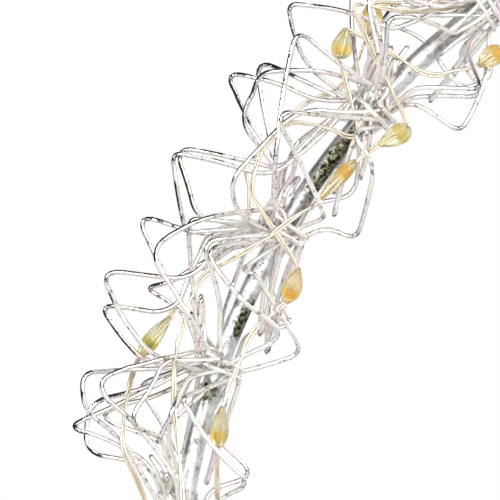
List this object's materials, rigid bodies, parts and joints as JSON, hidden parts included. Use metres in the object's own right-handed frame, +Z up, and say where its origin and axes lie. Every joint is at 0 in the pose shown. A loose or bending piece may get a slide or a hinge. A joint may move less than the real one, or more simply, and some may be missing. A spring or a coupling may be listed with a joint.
{
  "type": "wreath frame",
  "caption": "Round rod wreath frame dressed with folded silver wire and a warm micro light string, battery box clipped on behind.",
  "frame": {"origin": "the hanging point: the inside of the rod at the top of the ring", "axes": "+Z up as the wreath hangs, +Y along the ring's axis to the back, so the front faces -Y"},
  "size_m": [0.4048, 0.0463, 0.4069],
  "materials": {
    "galvanised_rod": "galvanised, glossy with grey mottling",
    "silver_wire": "bright silver plated wire",
    "string_wire": "lacquered pale wire pair with clear resin drops",
    "drop_resin": "clear glossy resin",
    "case_plastic": "fine satin mould texture",
    "knob_plastic": "satin",
    "grommet_rubber": "soft matte",
    "board": "lacquered board",
    "nickel": "nickel plated",
    "battery_sleeve": "glossy plain sleeve, bare metal ends"
  },
  "bodies": {
    "wreath": {"ring_rod": "galvanised_rod", "wire_skein_01": "silver_wire", "wire_skein_02": "silver_wire", "wire_skein_03": "silver_wire", "wire_skein_04": "silver_wire", "wire_skein_05": "silver_wire", "wire_skein_06": "silver_wire", "wire_skein_07": "silver_wire", "wire_skein_08": "silver_wire", "wire_skein_09": "silver_wire", "wire_skein_10": "silver_wire", "wire_skein_11": "silver_wire", "wire_skein_12": "silver_wire", "wire_skein_13": "silver_wire", "wire_skein_14": "silver_wire", "wire_skein_15": "silver_wire", "wire_skein_16": "silver_wire", "wire_skein_17": "silver_wire", "wire_skein_18": "silver_wire", "wire_skein_19": "silver_wire", "wire_skein_20": "silver_wire", "wire_skein_21": "silver_wire", "wire_skein_22": "silver_wire", "wire_skein_23": "silver_wire", "wire_skein_24": "silver_wire", "wire_skein_25": "silver_wire", "wire_skein_26": "silver_wire", "wire_skein_27": "silver_wire", "wire_skein_28": "silver_wire", "wire_skein_29": "silver_wire", "wire_skein_30": "silver_wire", "wire_skein_31": "silver_wire", "wire_skein_32": "silver_wire", "light_string": "string_wire", "case_base": "case_plastic", "board_cover": "case_plastic", "cover_screw": "nickel", "circuit_board": "board", "string_grommet": "grommet_rubber", "battery_1": "battery_sleeve", "battery_2": "battery_sleeve", "spring_contact_1": "nickel", "spring_contact_2": "nickel", "button_contact_1": "nickel", "button_contact_2": "nickel"},
    "cover": {"battery_cover": "case_plastic"},
    "switch": {"switch_knob": "knob_plastic"}
  },
  "joints": [
    {"name": "cover_slide", "type": "slide", "parent": "wreath", "child": "cover", "axis": [-1, 0, 0], "range_m": [0, 0.05]},
    {"name": "switch_slide", "type": "slide", "parent": "wreath", "child": "switch", "axis": [1, 0, 0], "range_m": [0, 0.003]}
  ]
}
